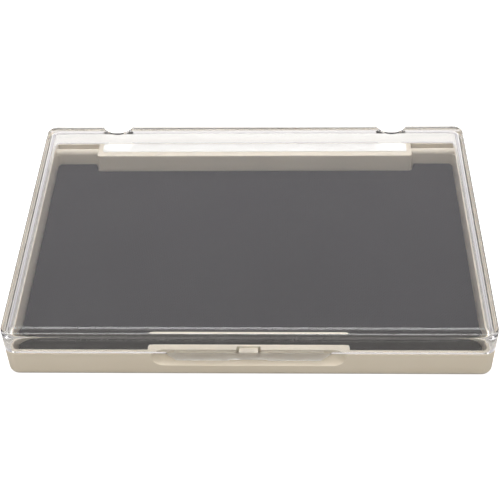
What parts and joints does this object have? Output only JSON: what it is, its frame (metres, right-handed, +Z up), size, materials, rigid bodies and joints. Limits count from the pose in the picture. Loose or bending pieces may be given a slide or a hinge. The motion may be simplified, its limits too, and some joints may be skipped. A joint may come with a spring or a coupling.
{
  "type": "ink pad",
  "caption": "Flat stamp ink pad: shallow moulded tray holding a cloth-covered inked felt, closed by a clear hinged lid with a thumb lip at the front.",
  "frame": {"origin": "centre of the footprint, on the resting face", "axes": "+X along the case's width, +Y towards the hinge, +Z up; the thumb lip faces -Y"},
  "size_m": [0.135, 0.091, 0.0165],
  "materials": {
    "case_plastic": "satin moulded",
    "label_paper": "smooth matt",
    "adhesive_sheet": "matt",
    "backing_board": "matt",
    "felt": "felt soaked in ink",
    "inked_cloth": "fine plain weave soaked in ink",
    "clear_plastic": "polished, clear"
  },
  "bodies": {
    "case": {"base_tray": "case_plastic", "catch_nub": "case_plastic", "hinge_cover": "case_plastic", "cover_label": "label_paper", "hinge_pin_left": "case_plastic", "hinge_pin_right": "case_plastic", "pad_adhesive": "adhesive_sheet", "pad_board": "backing_board", "pad_felt": "felt", "pad_cloth": "inked_cloth"},
    "lid": {"lid_shell": "clear_plastic"}
  },
  "joints": [
    {"name": "lid_hinge", "type": "hinge", "parent": "case", "child": "lid", "pos_m": [0, 0.044, 0.006], "axis": [-1, 0, 0], "range_deg": [0, 115]}
  ]
}
